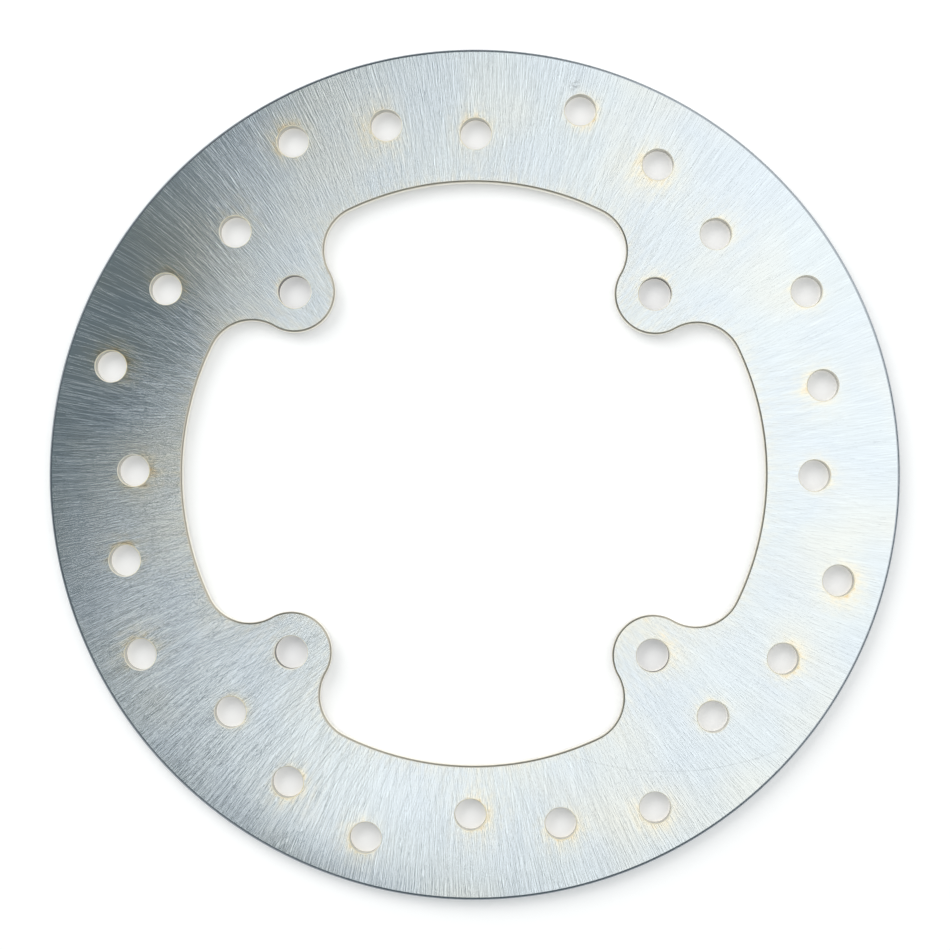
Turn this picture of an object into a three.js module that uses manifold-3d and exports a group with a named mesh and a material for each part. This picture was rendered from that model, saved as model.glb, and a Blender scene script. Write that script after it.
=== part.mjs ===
// Brake disc rotor for a light motorcycle or quad: one flat ground steel plate, drilled through
// in groups of three, with a four-lug opening that bolts straight onto the wheel hub.
//
// Millimetres, +Z up. The origin is the centre of the rear face, the one that lies on the hub.
// +Z is the disc's axis and points to the outer face. +X runs through the middle of one of the
// four arcs of the opening, and the lugs stand at 45 degrees to it.

import * as THREE from 'three';
import { mergeVertices } from 'three/addons/utils/BufferGeometryUtils.js';
import Module from 'manifold-3d';

// Plate
const OUTER_RADIUS = 110;
const THICKNESS = 4;
const RIM_CHAMFER = 0.6;
const EDGE_BREAK = 0.4; // on both ends of every hole and along the opening

// Opening: four arcs about the axis, each running through a round corner into a lug
const OPENING_RADIUS = 75.4;
const CORNER_RADIUS = 11.5;
const LUG_COUNT = 4;
const LUG_RADIUS = 10.5; // the rounded end of a lug, about its bolt hole
const BOLT_CIRCLE_RADIUS = 66;
const BOLT_HOLE_RADIUS = 4.2; // clearance for an M8 bolt

// Drilled holes: eight groups, each stepping outwards as it turns
const DRILL_GROUPS = 8;
const DRILL_RADIUS = 4;
const DRILL_ROW_RADII = [88, 93, 98];
const DRILL_STEP_DEG = 14.5; // from one hole of a group to the next

// Facets
const RIM_SEGMENTS = 144;
const HOLE_SEGMENTS = 22;
const OPENING_STEP_DEG = 7.5; // largest turn from one facet of the opening to the next

const { degToRad } = THREE.MathUtils;
const TAU = 2 * Math.PI;

// A point at a radius and an angle about the axis.
function polar(radius, angle) {
  return new THREE.Vector2(radius * Math.cos(angle), radius * Math.sin(angle));
}

// Points along an arc about a centre, without its last point, so that arcs can be chained.
function arcPoints(centre, radius, from, to, steps) {
  const curve = new THREE.EllipseCurve(centre.x, centre.y, radius, radius, from, to, to < from);
  return curve.getPoints(steps).slice(0, -1);
}

function circlePoints(centre, radius, segments) {
  return arcPoints(centre, radius, 0, TAU, segments);
}

// The opening's outline, counter-clockwise. A corner circle touches the opening's arc from
// inside and the lug's rounded end from outside, so its centre, the axis and the bolt hole are
// the corners of a triangle whose three sides are known.
function openingPoints() {
  const origin = new THREE.Vector2();
  const pitch = TAU / LUG_COUNT;
  const cornerReach = OPENING_RADIUS - CORNER_RADIUS;
  const cornerToLug = CORNER_RADIUS + LUG_RADIUS;
  const between = Math.acos(
    (cornerReach ** 2 + BOLT_CIRCLE_RADIUS ** 2 - cornerToLug ** 2) /
    (2 * cornerReach * BOLT_CIRCLE_RADIUS),
  ); // at the axis, from the bolt hole to the corner's centre
  const lean = Math.atan2(
    cornerReach * Math.sin(between),
    BOLT_CIRCLE_RADIUS - cornerReach * Math.cos(between),
  ); // of the line from the corner's centre to the bolt hole, against the lug's own axis
  const facets = (turn) => Math.ceil(turn / degToRad(OPENING_STEP_DEG));
  const cornerFacets = facets((between + lean) / 2);
  const lugFacets = facets(lean);
  const openingFacets = facets(2 * (pitch - 2 * between));

  const points = [];
  for (let lug = 0; lug < LUG_COUNT; lug++) {
    const axis = (lug + 0.5) * pitch;
    points.push(
      ...arcPoints(polar(cornerReach, axis - between), CORNER_RADIUS,
        axis - between, axis + lean, cornerFacets),
      ...arcPoints(polar(BOLT_CIRCLE_RADIUS, axis), LUG_RADIUS,
        axis + Math.PI + lean, axis + Math.PI - lean, lugFacets),
      ...arcPoints(polar(cornerReach, axis + between), CORNER_RADIUS,
        axis - lean, axis + between, cornerFacets),
      ...arcPoints(origin, OPENING_RADIUS,
        axis + between, axis + pitch - between, openingFacets),
    );
  }
  return points;
}

function boltHoleCentres() {
  return Array.from({ length: LUG_COUNT }, (_, lug) =>
    polar(BOLT_CIRCLE_RADIUS, (lug + 0.5) * TAU / LUG_COUNT));
}

function drilledHoleCentres() {
  const centres = [];
  for (let group = 0; group < DRILL_GROUPS; group++) {
    DRILL_ROW_RADII.forEach((radius, row) => {
      centres.push(polar(radius, group * TAU / DRILL_GROUPS + row * degToRad(DRILL_STEP_DEG)));
    });
  }
  return centres;
}

// The plate with its opening and holes, every edge broken. It is cut from stock wider than the
// disc, which the rim then trims.
function drilledPlate() {
  const stockRadius = OUTER_RADIUS + 2;
  const outline = new THREE.Shape(circlePoints(new THREE.Vector2(), stockRadius, RIM_SEGMENTS));
  outline.holes.push(new THREE.Path(openingPoints()));
  for (const centre of boltHoleCentres()) {
    outline.holes.push(new THREE.Path(circlePoints(centre, BOLT_HOLE_RADIUS, HOLE_SEGMENTS)));
  }
  for (const centre of drilledHoleCentres()) {
    outline.holes.push(new THREE.Path(circlePoints(centre, DRILL_RADIUS, HOLE_SEGMENTS)));
  }
  const plate = new THREE.ExtrudeGeometry(outline, {
    depth: THICKNESS - 2 * EDGE_BREAK,
    steps: 1,
    bevelThickness: EDGE_BREAK,
    bevelSize: EDGE_BREAK,
    bevelOffset: -EDGE_BREAK,
    bevelSegments: 1,
  });
  return plate.translate(0, 0, EDGE_BREAK);
}

// A solid round body whose side is the disc's rim with its two chamfers. The chamfers' slopes
// run on past both faces of the plate, so no face of one lies in a face of the other.
function rimBody() {
  const overrun = 1;
  const endRadius = OUTER_RADIUS - RIM_CHAMFER - overrun;
  const profile = [
    new THREE.Vector2(0, -overrun),
    new THREE.Vector2(endRadius, -overrun),
    new THREE.Vector2(OUTER_RADIUS, RIM_CHAMFER),
    new THREE.Vector2(OUTER_RADIUS, THICKNESS - RIM_CHAMFER),
    new THREE.Vector2(endRadius, THICKNESS + overrun),
    new THREE.Vector2(0, THICKNESS + overrun),
  ];
  return new THREE.LatheGeometry(profile, RIM_SEGMENTS).rotateX(Math.PI / 2);
}

const wasm = await Module();
wasm.setup();

function solidFrom(geometry) {
  geometry.deleteAttribute('normal');
  geometry.deleteAttribute('uv');
  const merged = mergeVertices(geometry);
  return new wasm.Manifold(new wasm.Mesh({
    numProp: 3,
    vertProperties: new Float32Array(merged.attributes.position.array),
    triVerts: new Uint32Array(merged.index.array),
  }));
}

function geometryFrom(solid) {
  const mesh = solid.getMesh();
  const geometry = new THREE.BufferGeometry();
  geometry.setAttribute('position', new THREE.BufferAttribute(mesh.vertProperties, 3));
  geometry.setIndex(new THREE.BufferAttribute(mesh.triVerts, 1));
  geometry.computeVertexNormals();
  return geometry;
}

const groundSteel = new THREE.MeshStandardMaterial({
  color: 0xc3cbce,
  metalness: 1,
  roughness: 0.35,
  flatShading: true,
});

const disc = new THREE.Mesh(
  geometryFrom(solidFrom(drilledPlate()).intersect(solidFrom(rimBody()))),
  groundSteel,
);
disc.name = 'brake_disc';

const rotor = new THREE.Group();
rotor.name = 'brake_disc_rotor';
rotor.add(disc);

export default rotor;
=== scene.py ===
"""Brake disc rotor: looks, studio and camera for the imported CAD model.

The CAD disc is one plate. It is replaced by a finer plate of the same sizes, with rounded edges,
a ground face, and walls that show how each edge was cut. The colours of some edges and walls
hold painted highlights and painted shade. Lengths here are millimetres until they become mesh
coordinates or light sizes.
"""

import math

import bpy
import numpy as np
from mathutils import Matrix, Vector
from mathutils.geometry import delaunay_2d_cdt


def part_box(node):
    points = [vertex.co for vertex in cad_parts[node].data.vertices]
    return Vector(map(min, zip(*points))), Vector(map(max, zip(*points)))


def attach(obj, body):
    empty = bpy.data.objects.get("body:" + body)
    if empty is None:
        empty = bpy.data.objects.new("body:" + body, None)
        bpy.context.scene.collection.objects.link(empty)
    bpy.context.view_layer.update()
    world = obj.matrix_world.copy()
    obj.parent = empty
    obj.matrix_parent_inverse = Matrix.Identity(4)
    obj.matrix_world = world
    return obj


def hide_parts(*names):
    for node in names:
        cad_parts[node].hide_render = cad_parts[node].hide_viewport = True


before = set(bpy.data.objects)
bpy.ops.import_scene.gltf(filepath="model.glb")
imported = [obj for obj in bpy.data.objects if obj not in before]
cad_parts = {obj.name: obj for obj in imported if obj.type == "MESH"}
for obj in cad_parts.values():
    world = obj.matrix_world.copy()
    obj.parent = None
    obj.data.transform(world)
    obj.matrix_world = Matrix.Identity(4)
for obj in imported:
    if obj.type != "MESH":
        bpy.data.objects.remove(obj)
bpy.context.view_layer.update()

MM = 0.001
TAU = 2 * math.pi

# ---------------------------------------------------------------- the disc's sizes, as in its CAD
low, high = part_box("brake_disc")
OUTER_RADIUS = (high.x - low.x) / 2 / MM
THICKNESS = (high.z - low.z) / MM
OPENING_RADIUS = 75.4
CORNER_RADIUS = 11.5
LUG_COUNT = 4
LUG_RADIUS = 10.5
BOLT_CIRCLE_RADIUS = 66
BOLT_HOLE_RADIUS = 4.2
DRILL_GROUPS = 8
DRILL_RADIUS = 4
DRILL_ROW_RADII = (88, 93, 98)
DRILL_STEP = math.radians(14.5)

# how far each kind of edge is rounded over
RIM_ROUND = 0.8
OPENING_ROUND = 0.5
BOLT_ROUND = 0.25
DRILL_ROUND = 0.25

# facets: round each edge, along each arc of the opening, and round the rim and each hole
ROUND_STEPS = 6
CORNER_STEPS = 28
LUG_STEPS = 40
OPENING_STEPS = 80
RIM_STEPS = 720
HOLE_STEPS = 72

# ---------------------------------------------------------------- outlines
LUG_PITCH = TAU / LUG_COUNT
CORNER_REACH = OPENING_RADIUS - CORNER_RADIUS
CORNER_TO_LUG = CORNER_RADIUS + LUG_RADIUS
# at the axis, the angle from a bolt hole to the centre of the round corner beside its lug
BETWEEN = math.acos(
    (CORNER_REACH**2 + BOLT_CIRCLE_RADIUS**2 - CORNER_TO_LUG**2)
    / (2 * CORNER_REACH * BOLT_CIRCLE_RADIUS)
)
# the line from that corner's centre to the bolt hole leans by this against the lug's axis
LEAN = math.atan2(
    CORNER_REACH * math.sin(BETWEEN),
    BOLT_CIRCLE_RADIUS - CORNER_REACH * math.cos(BETWEEN),
)


def polar(radius, angle):
    return np.array([radius * math.cos(angle), radius * math.sin(angle)])


def arc(centre, radius, start, end, steps):
    """Points on an arc, without its last one, so that arcs can be chained."""
    t = np.linspace(start, end, steps, endpoint=False)
    return np.asarray(centre) + radius * np.stack([np.cos(t), np.sin(t)], 1)


def opening_outline(inset):
    """The opening's outline, moved into the metal by inset."""
    points = []
    for lug in range(LUG_COUNT):
        axis = (lug + 0.5) * LUG_PITCH
        inwards = axis + math.pi
        before, after = polar(CORNER_REACH, axis - BETWEEN), polar(CORNER_REACH, axis + BETWEEN)
        bolt = polar(BOLT_CIRCLE_RADIUS, axis)
        corner, lug_end, opening = CORNER_RADIUS + inset, LUG_RADIUS - inset, OPENING_RADIUS + inset
        next_corner = axis + LUG_PITCH - BETWEEN
        points += [
            arc(before, corner, axis - BETWEEN, axis + LEAN, CORNER_STEPS),
            arc(bolt, lug_end, inwards + LEAN, inwards - LEAN, LUG_STEPS),
            arc(after, corner, axis - LEAN, axis + BETWEEN, CORNER_STEPS),
            arc((0, 0), opening, axis + BETWEEN, next_corner, OPENING_STEPS),
        ]
    return np.vstack(points)


def round_outline(centre, radius, outwards, steps):
    """A circle that moves outwards (1) or inwards (-1) as it is inset into the metal."""
    return lambda inset: arc(centre, radius + outwards * inset, 0, TAU, steps)


BOLT_HOLES = [polar(BOLT_CIRCLE_RADIUS, (lug + 0.5) * LUG_PITCH) for lug in range(LUG_COUNT)]
DRILLED_HOLES = [
    polar(radius, group * TAU / DRILL_GROUPS + row * DRILL_STEP)
    for group in range(DRILL_GROUPS)
    for row, radius in enumerate(DRILL_ROW_RADII)
]


def gap_to_opening(points):
    """How far each point lies in the metal from the opening's edge. Negative in the opening."""
    radius = np.hypot(points[:, 0], points[:, 1])
    turn = np.arctan2(points[:, 1], points[:, 0]) % LUG_PITCH
    fold = np.abs(turn - LUG_PITCH / 2)  # angle from the nearest lug's axis
    p = np.stack([radius * np.cos(fold), radius * np.sin(fold)], 1)
    bolt, corner = np.array([BOLT_CIRCLE_RADIUS, 0]), polar(CORNER_REACH, BETWEEN)
    along = bolt - corner
    side = along[0] * (p[:, 1] - corner[1]) - along[1] * (p[:, 0] - corner[0])
    gap = np.where(
        side > 0,
        np.hypot(*(p - corner).T) - CORNER_RADIUS,
        LUG_RADIUS - np.hypot(*(p - bolt).T),
    )
    return np.where(fold > BETWEEN, radius - OPENING_RADIUS, gap)


# ---------------------------------------------------------------- the plate's mesh
FACE, RIM_EDGE, OPENING_EDGE, HOLE_EDGE, RIM_WALL, OPENING_WALL, BOLT_WALL, DRILL_WALL = range(8)
GRID = 1.6  # spacing of the faces' inner points
ROW_PITCH = math.sqrt(0.75)  # from one row of them to the next, in spacings
RINGS = (0.3, 0.7, 1.2, 2.0)  # rows of points beside each edge, beyond its rounding
MERGE_GAP = 1e-7  # points nearer than this are one


def hole_loop(centre, radius, rounding, wall):
    outline = round_outline(centre, radius, 1, HOLE_STEPS)
    return outline, lambda p: np.hypot(*(p - centre).T) - radius, rounding, HOLE_EDGE, wall


# outline, how far points lie in the metal from it, rounding, material of its edges and its wall
LOOPS = [
    (
        round_outline((0, 0), OUTER_RADIUS, -1, RIM_STEPS),
        lambda p: OUTER_RADIUS - np.hypot(*p.T),
        RIM_ROUND,
        RIM_EDGE,
        RIM_WALL,
    ),
    (opening_outline, gap_to_opening, OPENING_ROUND, OPENING_EDGE, OPENING_WALL),
]
HOLE_LOOPS = [hole_loop(c, BOLT_HOLE_RADIUS, BOLT_ROUND, BOLT_WALL) for c in BOLT_HOLES]
HOLE_LOOPS += [hole_loop(c, DRILL_RADIUS, DRILL_ROUND, DRILL_WALL) for c in DRILLED_HOLES]
LOOPS += HOLE_LOOPS


def depth_in_face(points):
    """Distance from each point of the flat face to the nearest rounding."""
    return np.min([gap(points) - rounding for _, gap, rounding, _, _ in LOOPS], 0)


def face_points():
    """Points inside the face: rows beside every edge, then a hexagonal grid."""
    rows = []
    for outline, _, rounding, _, _ in LOOPS:
        rows += [outline(rounding + ring) for ring in RINGS]
    count = int(2 * OUTER_RADIUS / GRID) + 2
    i, j = np.meshgrid(np.arange(count), np.arange(int(count * 1.16)))  # 1.16 > 1 / ROW_PITCH
    grid = np.stack([(i + 0.5 * (j % 2)) * GRID, j * GRID * ROW_PITCH], -1).reshape(-1, 2)
    grid -= OUTER_RADIUS + GRID
    grid = grid[depth_in_face(grid) > RINGS[-1] + GRID / 2]
    return np.vstack(rows + [grid])


def face_triangles(boundaries):
    """Triangulates the face between its boundary loops. Returns points and triangles, with the
    loops' points first and in their order."""
    points, edges, start = [], [], 0
    for loop in boundaries:
        n = len(loop)
        points.append(loop)
        edges += [(start + k, start + (k + 1) % n) for k in range(n)]
        start += n
    points = np.vstack(points + [face_points()])
    out, _, triangles, origin, _, _ = delaunay_2d_cdt(
        [Vector(p) for p in points], edges, [], 0, MERGE_GAP
    )
    place = np.array([source[0] for source in origin])
    out = np.array([tuple(v) for v in out])
    if len(out) != len(points) or sorted(place) != list(range(len(points))):
        raise ValueError("the face's points merged, so its loops can't be joined to the walls")
    triangles = place[np.array(triangles)]
    middles = points[triangles].mean(1)
    return points, triangles[depth_in_face(middles) > 0]


def heat_at(points):
    """Straw tint left by cutting: a tight ring and a wide faint patch at each edge, stronger to
    one side, differing from hole to hole."""
    chance = np.random.default_rng(7)
    heat = np.zeros(len(points))
    for centre, (_, gap_to, _, _, wall) in zip(BOLT_HOLES + DRILLED_HOLES, HOLE_LOOPS):
        gap = np.maximum(gap_to(points), 0)
        bearing = np.arctan2(*(points - centre).T[::-1])
        ring, patch = chance.uniform(0.35, 0.8), chance.uniform(0.1, 0.45)
        width, reach = chance.uniform(0.7, 1.4), chance.uniform(2.5, 5.5)
        towards = chance.uniform(0, TAU)
        bias = 0.6 + 0.4 * np.cos(bearing - towards)
        share = bias * (1 if wall == DRILL_WALL else 0.5)
        heat += ring * share * np.exp(-((gap / width) ** 1.3))
        heat += patch * share * np.exp(-((gap / reach) ** 1.6))
    gap = np.maximum(gap_to_opening(points), 0)
    heat += 0.2 * np.exp(-gap / 1.1) + 0.16 * np.exp(-gap / 4)
    return heat


def plate():
    """The whole plate as one closed mesh object, in metres."""
    round_angles = np.linspace(0, math.pi / 2, ROUND_STEPS + 1)
    tops = [outline(rounding) for outline, _, rounding, _, _ in LOOPS]
    cap, triangles = face_triangles(tops)
    n = len(cap)
    top = np.c_[cap, np.full(n, THICKNESS)]
    verts, total = [top, top * (1, 1, 0)], 2 * n
    faces = [tuple(t) for t in triangles] + [tuple(t[::-1] + n) for t in triangles]
    slots = [FACE] * len(faces)
    sharp = set()
    heat = [heat_at(cap)] * 2

    start = 0
    for outline, _, rounding, edge, wall in LOOPS:
        insets = rounding * (1 - np.sin(round_angles))
        drops = rounding * (1 - np.cos(round_angles))
        heights = [THICKNESS - d for d in drops] + list(drops[::-1])
        count = len(outline(0))
        ids = [np.arange(start, start + count)]
        for inset, height in list(zip(list(insets) + list(insets[::-1]), heights))[1:-1]:
            row = outline(inset)
            verts.append(np.c_[row, np.full(count, height)])
            heat.append(heat_at(row) if wall != RIM_WALL else np.zeros(count))
            ids.append(np.arange(total, total + count))
            total += count
        ids.append(np.arange(start, start + count) + n)
        outside = wall == RIM_WALL
        for k, (upper, lower) in enumerate(zip(ids, ids[1:])):
            slot = wall if k == ROUND_STEPS else edge
            for a, b in zip(range(count), list(range(1, count)) + [0]):
                quad = (upper[a], lower[a], lower[b], upper[b])
                faces.append(quad if outside else quad[::-1])
                slots.append(slot)
        for ring in (ids[0], ids[-1]):
            sharp |= {frozenset((int(a), int(b))) for a, b in zip(ring, np.roll(ring, -1))}
        start += count

    mesh = bpy.data.meshes.new("brake_disc_plate")
    mesh.from_pydata((np.vstack(verts) * MM).tolist(), [], [tuple(map(int, f)) for f in faces])
    mesh.polygons.foreach_set("material_index", slots)
    mesh.polygons.foreach_set("use_smooth", [True] * len(faces))
    flags = mesh.attributes.new("sharp_edge", "BOOLEAN", "EDGE")
    flags.data.foreach_set("value", [frozenset(e.vertices) in sharp for e in mesh.edges])
    tint = mesh.attributes.new("straw_tint", "FLOAT", "POINT")
    tint.data.foreach_set("value", np.concatenate(heat).astype(np.float32))
    mesh.update()
    obj = bpy.data.objects.new("brake_disc_plate", mesh)
    bpy.context.scene.collection.objects.link(obj)
    return obj


# ---------------------------------------------------------------- materials
LONG_SCRATCH_CENTRE = (50.0, 0.0, 0.0)  # the scratch is an arc of a large circle
LONG_SCRATCH_RADIUS = 76.4
SMUDGE_CENTRE = (25.6, 100.6, THICKNESS)
STEEL = (0.69, 0.735, 0.75)
BLUE_STEEL = (0.67, 0.72, 0.755)
CREAM = (0.80, 0.76, 0.64)
STRAW = (0.74, 0.56, 0.30)


class Nodes:
    """Short names for the few shader nodes the materials are made of."""

    def __init__(self, name):
        self.material = bpy.data.materials.new(name)
        self.material.use_nodes = True
        self.tree = self.material.node_tree
        self.shader = self.tree.nodes["Principled BSDF"]
        place = self.add("ShaderNodeTexCoord").outputs["Object"]
        self.place = self.vector("SCALE", place, scale=1 / MM)
        self.x, self.y, self.z = self.split(self.place)
        squares = self.maths("ADD", self.square(self.x), self.square(self.y))
        self.radius = self.maths("SQRT", squares)
        self.angle = self.maths("ARCTAN2", self.y, self.x)

    def add(self, kind):
        return self.tree.nodes.new(kind)

    def put(self, socket, value):
        if isinstance(value, bpy.types.NodeSocket):
            self.tree.links.new(value, socket)
        else:
            socket.default_value = value

    def maths(self, operation, a, b=0.0, clamp=False):
        node = self.add("ShaderNodeMath")
        node.operation, node.use_clamp = operation, clamp
        self.put(node.inputs[0], a)
        self.put(node.inputs[1], b)
        return node.outputs[0]

    def square(self, a):
        return self.maths("MULTIPLY", a, a)

    def vector(self, operation, a, b=None, scale=None):
        node = self.add("ShaderNodeVectorMath")
        node.operation = operation
        self.put(node.inputs[0], a)
        if b is not None:
            self.put(node.inputs[1], b)
        if scale is not None:
            self.put(node.inputs["Scale"], scale)
        return node.outputs["Value" if operation == "DISTANCE" else "Vector"]

    def split(self, a):
        node = self.add("ShaderNodeSeparateXYZ")
        self.put(node.inputs[0], a)
        return node.outputs

    def join(self, x, y, z):
        node = self.add("ShaderNodeCombineXYZ")
        for socket, value in zip(node.inputs, (x, y, z)):
            self.put(socket, value)
        return node.outputs[0]

    def noise(self, place, scale, detail=2.0, roughness=0.5):
        node = self.add("ShaderNodeTexNoise")
        self.put(node.inputs["Vector"], place)
        self.put(node.inputs["Scale"], scale)
        self.put(node.inputs["Detail"], detail)
        self.put(node.inputs["Roughness"], roughness)
        return node.outputs["Fac"]

    def ramp(self, value, start, end, low=0.0, high=1.0):
        """value from start to end becomes low to high, and stays there beyond them."""
        node = self.add("ShaderNodeMapRange")
        for socket, number in zip(node.inputs, (value, start, end, low, high)):
            self.put(socket, number)
        return node.outputs[0]

    def mix(self, share, a, b):
        node = self.add("ShaderNodeMix")
        node.data_type = "RGBA"
        self.put(node.inputs["Factor"], share)
        self.put(node.inputs["A"], a if not isinstance(a, tuple) else (*a, 1))
        self.put(node.inputs["B"], b if not isinstance(b, tuple) else (*b, 1))
        return node.outputs["Result"]

    def attribute(self, name):
        node = self.add("ShaderNodeAttribute")
        node.attribute_name = name
        return node.outputs["Fac"]

    def bump(self, height, distance):
        node = self.add("ShaderNodeBump")
        node.inputs["Strength"].default_value = 1.0
        self.put(node.inputs["Distance"], distance)
        self.put(node.inputs["Height"], height)
        self.put(self.shader.inputs["Normal"], node.outputs["Normal"])

    def metal(self, colour, roughness, anisotropy=0.0, metallic=1.0):
        self.put(self.shader.inputs["Base Color"], colour)
        self.put(self.shader.inputs["Roughness"], roughness)
        self.shader.inputs["Metallic"].default_value = metallic
        if anisotropy:
            self.shader.inputs["Anisotropic"].default_value = anisotropy
            tangent = self.add("ShaderNodeTangent")
            tangent.direction_type, tangent.axis = "RADIAL", "Z"
            self.put(self.shader.inputs["Tangent"], tangent.outputs[0])
        return self.material

    def grinding(self, lean, bend, fineness, length, seed):
        """Lines that run from the opening to the rim. lean is their slope against the radius in
        the middle of the ring, and bend is how much it changes towards the rim."""
        middle = (OPENING_RADIUS + OUTER_RADIUS) / 2
        u = self.maths("DIVIDE", self.maths("SUBTRACT", self.radius, middle), middle)
        slope = self.maths("ADD", lean, self.maths("MULTIPLY", u, bend))
        turned = self.maths("SUBTRACT", self.angle, self.maths("MULTIPLY", slope, u))
        across = middle / fineness
        place = self.join(
            self.maths("MULTIPLY", self.maths("COSINE", turned), across),
            self.maths("MULTIPLY", self.maths("SINE", turned), across),
            self.maths("ADD", self.maths("DIVIDE", self.radius, length), seed),
        )
        return self.noise(place, 1.0, 1.5, 0.6)

    def scratches(self, lean, bend, fineness, seed):
        """Thin separate scratches, 1 on a scratch and 0 beside it."""
        lines = self.grinding(lean, bend, fineness, 30, seed)
        ridge = self.maths("ABSOLUTE", self.maths("SUBTRACT", lines, 0.5))
        return self.ramp(ridge, 0.0, 0.02, 1.0, 0.0)

    def long_scratch(self):
        """One faint scratch that doesn't follow the grinding."""
        away = self.vector("DISTANCE", self.join(self.x, self.y, 0.0), LONG_SCRATCH_CENTRE)
        ridge = self.maths("ABSOLUTE", self.maths("SUBTRACT", away, LONG_SCRATCH_RADIUS))
        line = self.ramp(ridge, 0.05, 0.22, 1.0, 0.0)
        near_end = self.ramp(self.x, 20.0, 30.0)
        far_end = self.ramp(self.x, 74.0, 84.0, 1.0, 0.0)
        ends = self.maths("MULTIPLY", near_end, far_end)
        below = self.ramp(self.y, -60.0, -61.0)
        outer_face = self.maths("GREATER_THAN", self.z, THICKNESS / 2)
        place = self.maths("MULTIPLY", below, outer_face)
        return self.maths("MULTIPLY", line, self.maths("MULTIPLY", ends, place))


def ground_face():
    """Both faces: ground from the opening to the rim in crossing sets of fine lines."""
    n = Nodes("ground_face")
    even = n.grinding(0.02, 0.2, 0.28, 13, 0)
    left = n.grinding(-0.17, 0.3, 0.28, 13, 40)
    right = n.grinding(0.16, -0.3, 0.28, 13, 80)
    lines = n.maths("ADD", n.maths("MULTIPLY", even, 0.44), n.maths("MULTIPLY", left, 0.28))
    lines = n.maths("ADD", lines, n.maths("MULTIPLY", right, 0.28))
    scratches = n.maths("ADD", n.scratches(-0.12, 0.5, 0.9, 120), n.scratches(0.1, -0.4, 1.1, 160))

    patches = n.noise(n.vector("ADD", n.place, (40.0, 0.0, 0.0)), 0.05, 2.0)
    steel = n.mix(n.ramp(patches, 0.35, 0.6), BLUE_STEEL, STEEL)
    shade = n.ramp(lines, 0.35, 0.65, 0.92, 1.03)
    shade = n.maths("ADD", shade, n.maths("MULTIPLY", scratches, 0.06))
    shade = n.maths("SUBTRACT", shade, n.maths("MULTIPLY", n.long_scratch(), 0.10))
    smudge = n.ramp(n.vector("DISTANCE", n.place, SMUDGE_CENTRE), 0.3, 2.4, 1.0, 0.0)
    smudge = n.maths("MULTIPLY", smudge, n.ramp(n.noise(n.place, 1.3), 0.42, 0.58))
    shade = n.maths("SUBTRACT", shade, n.maths("MULTIPLY", smudge, 0.3))
    steel = n.vector("SCALE", steel, scale=shade)
    streaks = n.grinding(0.0, 0.0, 1.6, 25, 200)
    mottle = n.ramp(n.noise(n.place, 0.5, 3.0, 0.6), 0.3, 0.7, 0.4, 1.25)
    mottle = n.maths("MULTIPLY", mottle, n.ramp(streaks, 0.3, 0.7, 0.4, 1.4))
    heat = n.maths("MULTIPLY", n.attribute("straw_tint"), mottle)
    heat = n.maths("ADD", heat, n.ramp(n.noise(n.place, 0.03, 2.0), 0.5, 0.75, 0.0, 0.25))
    colour = n.mix(n.ramp(heat, 0.0, 0.5), steel, CREAM)
    colour = n.mix(n.ramp(heat, 0.45, 1.3), colour, STRAW)
    n.bump(n.maths("ADD", lines, n.maths("MULTIPLY", scratches, 0.13)), 5.5e-5)
    return n.metal(colour, n.ramp(lines, 0.3, 0.7, 0.165, 0.135), anisotropy=0.95)


def rounded_edge(name, colour, hot, roughness, metallic=1.0):
    """A broken edge with small nicks, tinted where cutting heated it. Its base colours are given by
    the caller; the opening's carries painted shade and the holes' a painted highlight.
    """
    n = Nodes(name)
    nicks = n.noise(n.place, 0.9, 3.0, 0.7)
    heat = n.maths("MULTIPLY", n.attribute("straw_tint"), 0.8, clamp=True)
    n.bump(nicks, 4e-5)
    return n.metal(n.mix(heat, colour, hot), roughness, metallic=metallic)


def rim_edge_painted_shade():
    """The rim's two broken edges. They are turned, not cut by heat, so one colour all round: a dark
    grey, painted shade for the dark surroundings their rounding mirrors.
    """
    n = Nodes("rim_edge_painted_shade")
    n.bump(n.noise(n.place, 0.9, 3.0, 0.7), 4e-5)
    # Dark grey base colour, well below the face's steel: painted shade for the rim's dark line.
    return n.metal((0.44, 0.47, 0.50, 1), 0.25)


def cut_wall(name, light, painted_shade_band, roughness):
    """A wall cut by laser from the outer face, with upright striations. Its two tones are painted:
    a dark band under the outer face is painted shade for the dark surroundings it mirrors, and
    the near-white part below is a painted reflection of the white floor."""
    n = Nodes(name)
    striae = n.noise(n.join(n.x, n.y, n.maths("MULTIPLY", n.z, 0.12)), 3.2, 2.0, 0.6)
    depth = n.maths("ADD", n.z, n.maths("MULTIPLY", n.maths("SUBTRACT", striae, 0.5), 1.2))
    colour = n.mix(n.ramp(depth, 3.0, 3.6), light, painted_shade_band)
    n.bump(striae, 3e-5)
    return n.metal(colour, roughness)


def drilled_wall(name, colour, shade, roughness):
    """A drilled wall: fine rings from the drill, tinted by its heat."""
    n = Nodes(name)
    place = n.join(n.maths("MULTIPLY", n.x, 0.1), n.maths("MULTIPLY", n.y, 0.1), n.z)
    rings = n.noise(place, 4.0)
    blotches = n.noise(n.place, 0.5)
    tint = n.mix(n.ramp(blotches, 0.35, 0.65), colour, shade)
    n.bump(rings, 2e-5)
    return n.metal(tint, roughness)


def turned_rim():
    """The rim's outer wall, turned, with fine lines round it."""
    n = Nodes("turned_rim")
    place = n.join(n.maths("MULTIPLY", n.x, 0.02), n.maths("MULTIPLY", n.y, 0.02), n.z)
    rings = n.noise(place, 7.0)
    colour = n.mix(n.ramp(rings, 0.35, 0.65), (0.52, 0.56, 0.60), (0.62, 0.66, 0.69))
    n.bump(rings, 1.5e-5)
    return n.metal(colour, 0.3)


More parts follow.
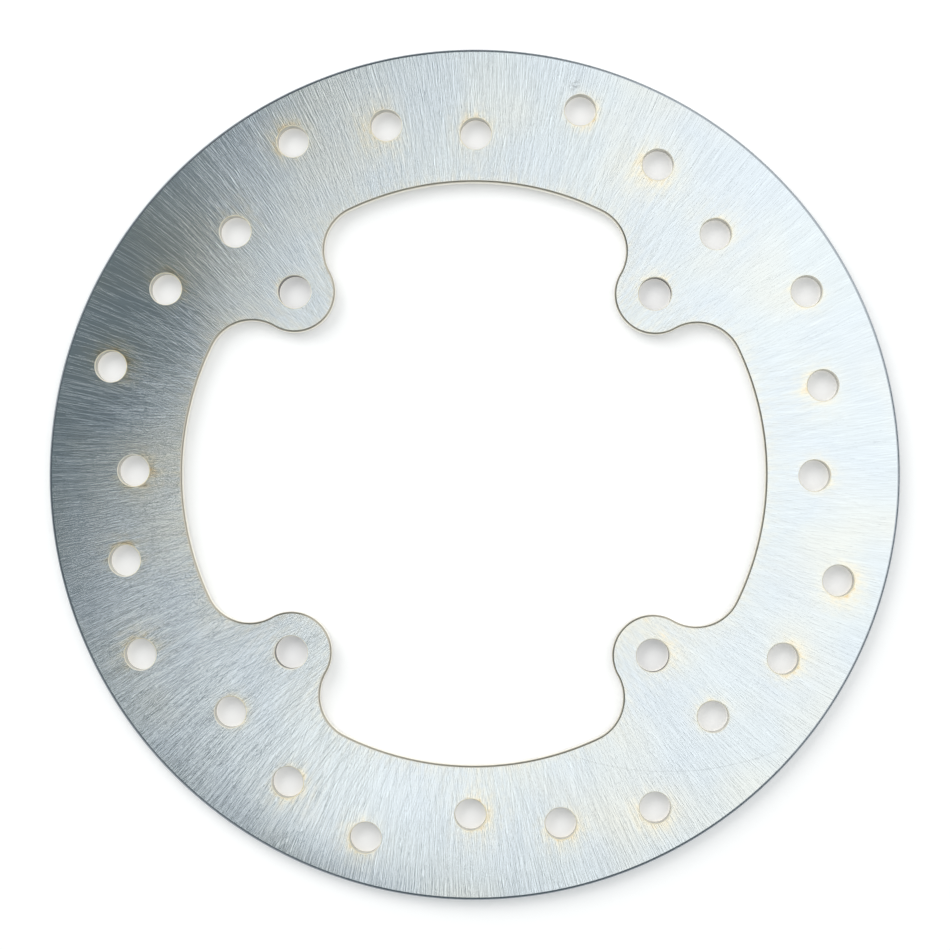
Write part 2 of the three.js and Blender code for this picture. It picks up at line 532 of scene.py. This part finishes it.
disc = plate()
for material in (
    ground_face(),
    rim_edge_painted_shade(),
    # The opening's broken edge is a dark brownish grey: painted shade for the dark surroundings its
    # rounding mirrors, mixed with the real straw tint from cutting.
    rounded_edge("opening_edge_tint_and_painted_shade", (0.46, 0.44, 0.39), (0.62, 0.53, 0.36), 0.28),
    # The holes' broken edges are near white and only partly metal: a painted highlight for the
    # bright ring they mirror, warmer where cutting heat tinted them.
    rounded_edge("hole_edge_tint_and_painted_highlight", (0.98, 0.95, 0.86), (0.98, 0.87, 0.60), 0.6, metallic=0.4),
    turned_rim(),
    # Near white below and dark brown under the outer face: painted reflection of the floor and
    # painted shade.
    cut_wall("laser_cut_wall_painted_light_and_shade", (1.0, 0.98, 0.90), (0.46, 0.39, 0.31), 0.45),
    # The bolt holes' walls are near black: painted shade that darkens the floor seen through the
    # bolt holes.
    drilled_wall("bolt_hole_wall_painted_shade", (0.20, 0.19, 0.18), (0.15, 0.14, 0.13), 0.4),
    drilled_wall("drilled_wall", (0.64, 0.63, 0.58), (0.52, 0.50, 0.44), 0.35),
):
    disc.data.materials.append(material)
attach(disc, "root")
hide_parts("brake_disc")

# ---------------------------------------------------------------- camera
# An 85 mm lens almost straight above, a little towards +X and -Y, and turned by half a degree.
LENS = 85.0
SENSOR = 36.0
VIEW_WIDTH = 245.3  # what the picture spans at the outer face
LEAN_X = math.radians(1.2)
LEAN_Y = math.radians(-1.2)
ROLL = math.radians(0.45)
AIM = Vector((0.5, -0.5, THICKNESS))

distance = VIEW_WIDTH * LENS / SENSOR
back = Vector((math.sin(LEAN_X), math.sin(LEAN_Y), 1)).normalized()
right = Vector((-math.sin(ROLL), math.cos(ROLL), 0)).cross(back).normalized()
up = back.cross(right)
camera_data = bpy.data.cameras.new("camera")
camera_data.lens, camera_data.sensor_width = LENS, SENSOR
camera_data.clip_start, camera_data.clip_end = 0.01, 20
camera = bpy.data.objects.new("camera", camera_data)
camera.matrix_world = Matrix.Translation((AIM + distance * back) * MM) @ (
    Matrix((right, up, back)).transposed().to_4x4()
)
bpy.context.scene.collection.objects.link(camera)
bpy.context.scene.camera = camera


# ---------------------------------------------------------------- studio
def softbox(name, azimuth, zenith, reach, width, height, radiance):
    """A rectangular light facing the disc. azimuth runs from +X towards +Y, zenith is the angle
    from straight up, both in degrees; sizes and reach are in metres."""
    a, z = math.radians(azimuth), math.radians(zenith)
    direction = Vector((math.sin(z) * math.cos(a), math.sin(z) * math.sin(a), math.cos(z)))
    data = bpy.data.lights.new(name, "AREA")
    data.shape, data.size, data.size_y = "RECTANGLE", width, height
    data.energy = radiance * math.pi * width * height
    light = bpy.data.objects.new(name, data)
    facing = direction.to_track_quat("Z", "Y").to_matrix().to_4x4()
    light.matrix_world = Matrix.Translation(direction * reach) @ facing
    bpy.context.scene.collection.objects.link(light)
    return light


def overhead(name, edge, side, bearing, height, depth, breadth, radiance):
    """A level panel that starts edge metres from the axis on the side of bearing, and reaches
    depth metres away from that side. A quarter turn further on it starts side metres from the
    axis, and reaches breadth metres the other way."""
    data = bpy.data.lights.new(name, "AREA")
    data.shape, data.size, data.size_y = "RECTANGLE", depth, breadth
    data.energy = radiance * math.pi * depth * breadth
    light = bpy.data.objects.new(name, data)
    a = math.radians(bearing)
    centre = (edge - depth / 2) * Vector((math.cos(a), math.sin(a), 0)) + Vector((0, 0, height))
    centre += (side - breadth / 2) * Vector((-math.sin(a), math.cos(a), 0))
    light.matrix_world = Matrix.Translation(centre) @ Matrix.Rotation(a, 4, "Z")
    bpy.context.scene.collection.objects.link(light)


overhead(
    "ceiling_panel",
    edge=0.25,
    side=0.315,
    bearing=157,
    height=1.2,
    depth=1.5,
    breadth=1.8,
    radiance=1.12,
)
key = softbox("key", 135, 48, 1.7, 1.4, 1.4, 3.0)
key.visible_glossy = False  # its mirror image would be a flare on the rim
softbox("upper_right", 45, 72, 1.7, 1.6, 0.7, 0.7)
softbox("upper_left", 150, 72, 1.7, 1.6, 0.7, 0.7)
softbox("lower_left", 225, 69, 1.7, 1.6, 0.7, 0.5)

world = bpy.data.worlds.new("studio")
world.use_nodes = True
sky = world.node_tree.nodes["Background"]
sky.inputs["Color"].default_value = (0.78, 0.93, 1.0, 1)
sky.inputs["Strength"].default_value = 0.225
bpy.context.scene.world = world
bpy.context.scene.view_settings.view_transform = "Standard"


FLOOR_SIZE = 6
FLOOR_DROP = 0.0002  # keeps it clear of the disc's rear face


def white_floor():
    """A sheet of white paper under the disc, glowing a little so that it stays white."""
    bpy.ops.mesh.primitive_plane_add(size=FLOOR_SIZE, location=(0, 0, -FLOOR_DROP))
    floor = bpy.context.object
    floor.name = "floor"
    paper = bpy.data.materials.new("white_paper")
    paper.use_nodes = True
    shader = paper.node_tree.nodes["Principled BSDF"]
    shader.inputs["Base Color"].default_value = (0.91, 0.895, 0.88, 1)
    shader.inputs["Roughness"].default_value = 0.9
    shader.inputs["Specular IOR Level"].default_value = 0.1
    shader.inputs["Emission Color"].default_value = (1, 1, 1, 1)
    shader.inputs["Emission Strength"].default_value = 0.26
    floor.data.materials.append(paper)


white_floor()
